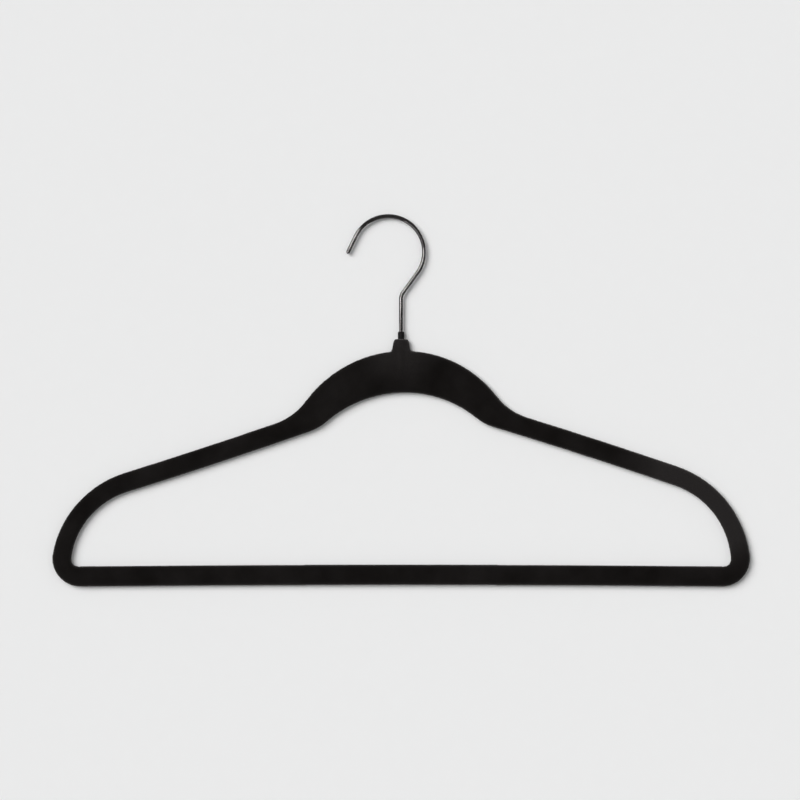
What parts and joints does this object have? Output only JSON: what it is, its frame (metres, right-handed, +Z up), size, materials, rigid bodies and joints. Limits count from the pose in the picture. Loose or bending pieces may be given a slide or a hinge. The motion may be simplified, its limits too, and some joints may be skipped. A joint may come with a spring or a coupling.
{
  "type": "clothes hanger",
  "caption": "Slim flocked clothes hanger with a deep rounded yoke, sloping shoulders, a trouser bar and a swivelling wire hook.",
  "frame": {"origin": "on the mid-plane of the moulding, under the axis of the hook's shank, at the level of the bottom of the trouser bar", "axes": "+X along the width towards the side away from the hook's open mouth, +Y through the thickness, +Z up along the hook's shank"},
  "size_m": [0.4444, 0.0086, 0.2373],
  "materials": {
    "core": "black moulded plastic, bare only inside the neck",
    "flock": "short black flock, matt with a faint sheen",
    "bush": "black moulded plastic, lightly polished",
    "hook": "dark plated steel wire, polished"
  },
  "bodies": {
    "frame": {"frame_core": "core", "flock_coat": "flock", "bush": "bush"},
    "hook": {"hook": "hook"}
  },
  "joints": [
    {"name": "hook_swivel", "type": "hinge", "parent": "frame", "child": "hook", "pos_m": [0, 0, 0.1576], "axis": [0, 0, 1], "continuous": true}
  ]
}
